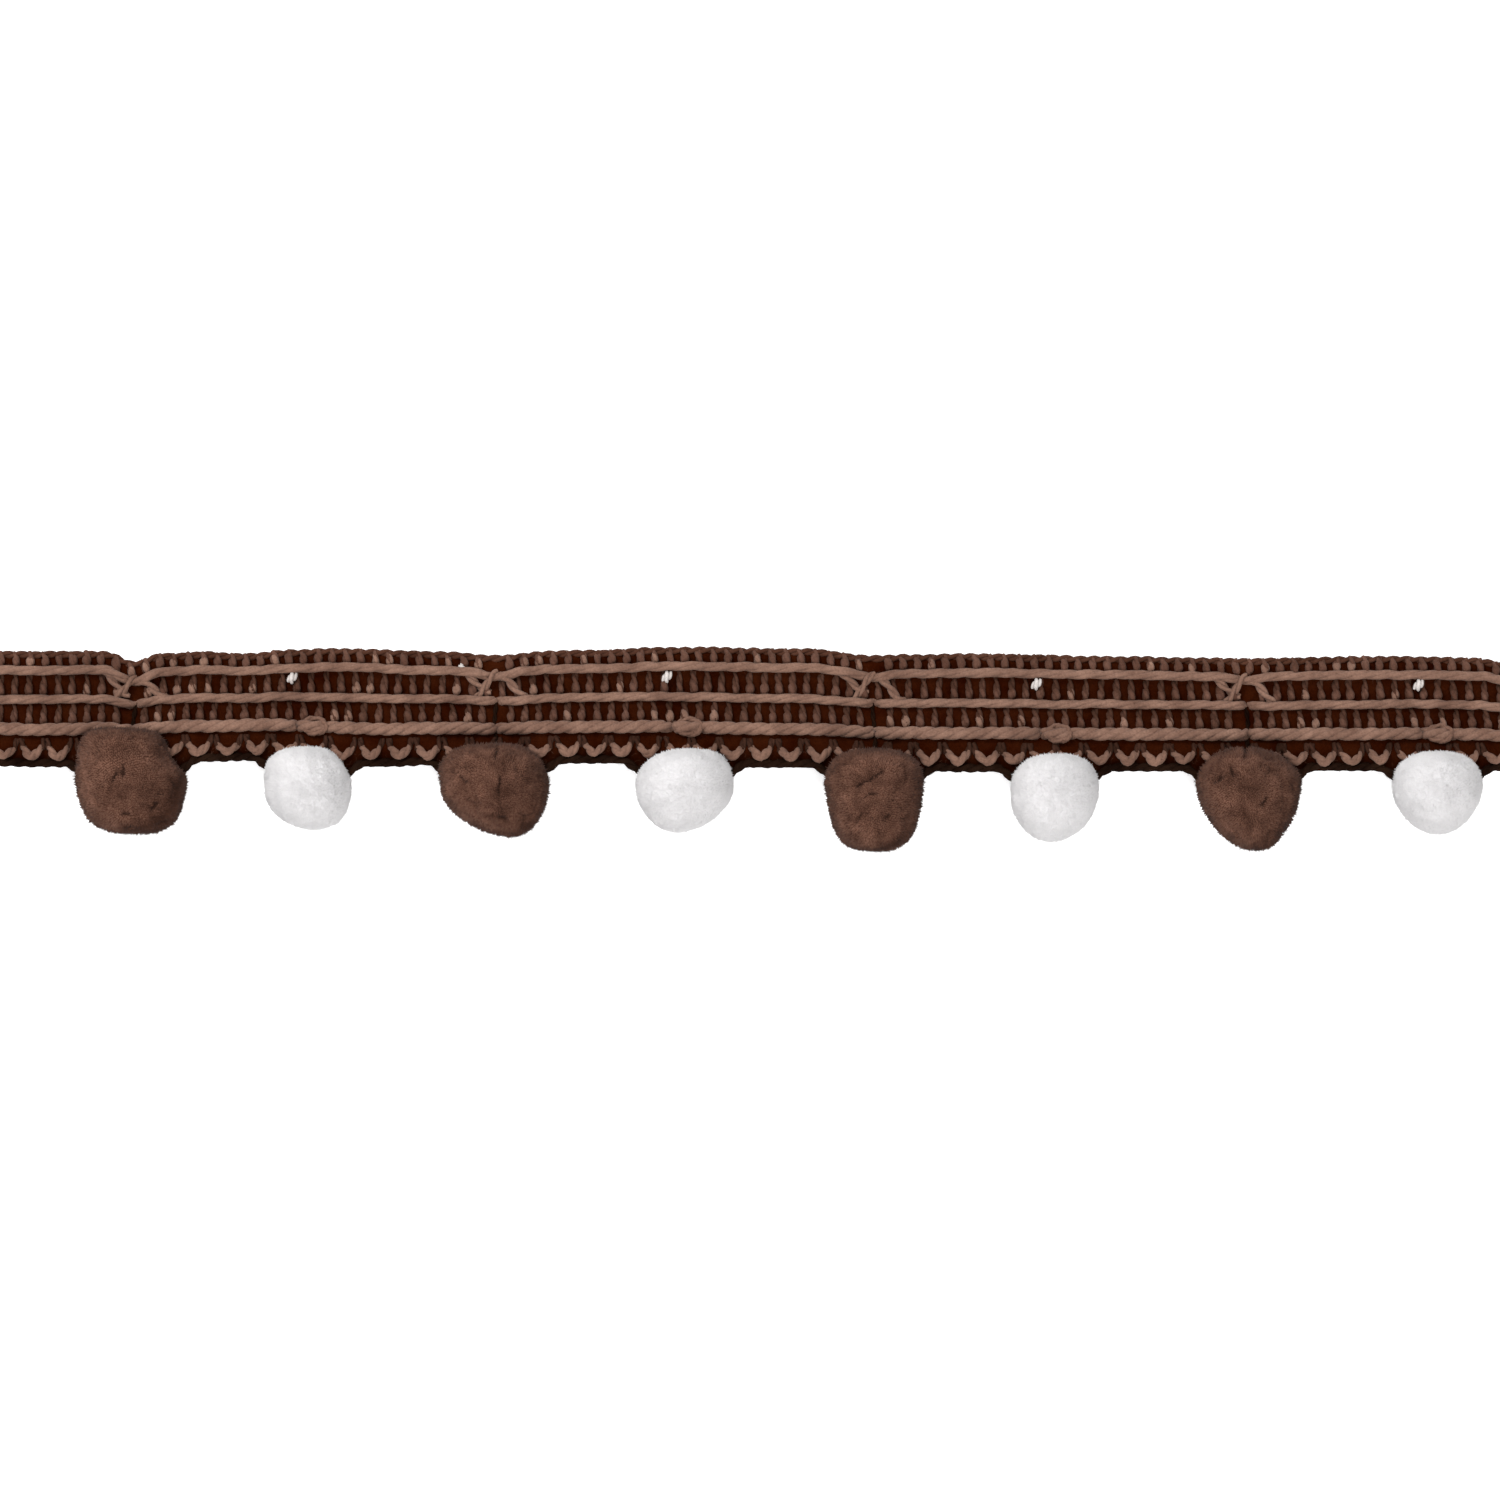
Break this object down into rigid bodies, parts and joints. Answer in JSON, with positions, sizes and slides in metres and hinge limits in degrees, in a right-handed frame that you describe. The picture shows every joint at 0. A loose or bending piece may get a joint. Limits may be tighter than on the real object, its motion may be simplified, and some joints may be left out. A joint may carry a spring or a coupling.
{
  "type": "pompom fringe trim",
  "caption": "Straight length of ribbed heading braid with small pompoms in alternating brown and white along its lower edge.",
  "frame": {"origin": "on the braid's flat back near its top edge, at mid-length", "axes": "+X along the trim to the right as seen from its face, +Y from the pompoms to the top edge, +Z out of the face; the surface it lies on is z = 0"},
  "size_m": [0.133, 0.0178, 0.0074],
  "materials": {
    "braid_yarn": "matt brown crocheted yarn",
    "brown_pile": "matt brown cut pile",
    "white_pile": "matt white cut pile"
  },
  "bodies": {
    "root": {"heading_braid": "braid_yarn", "pompom_brown_1": "brown_pile", "pompom_white_1": "white_pile", "pompom_brown_2": "brown_pile", "pompom_white_2": "white_pile", "pompom_brown_3": "brown_pile", "pompom_white_3": "white_pile", "pompom_brown_4": "brown_pile", "pompom_white_4": "white_pile"}
  },
  "joints": []
}
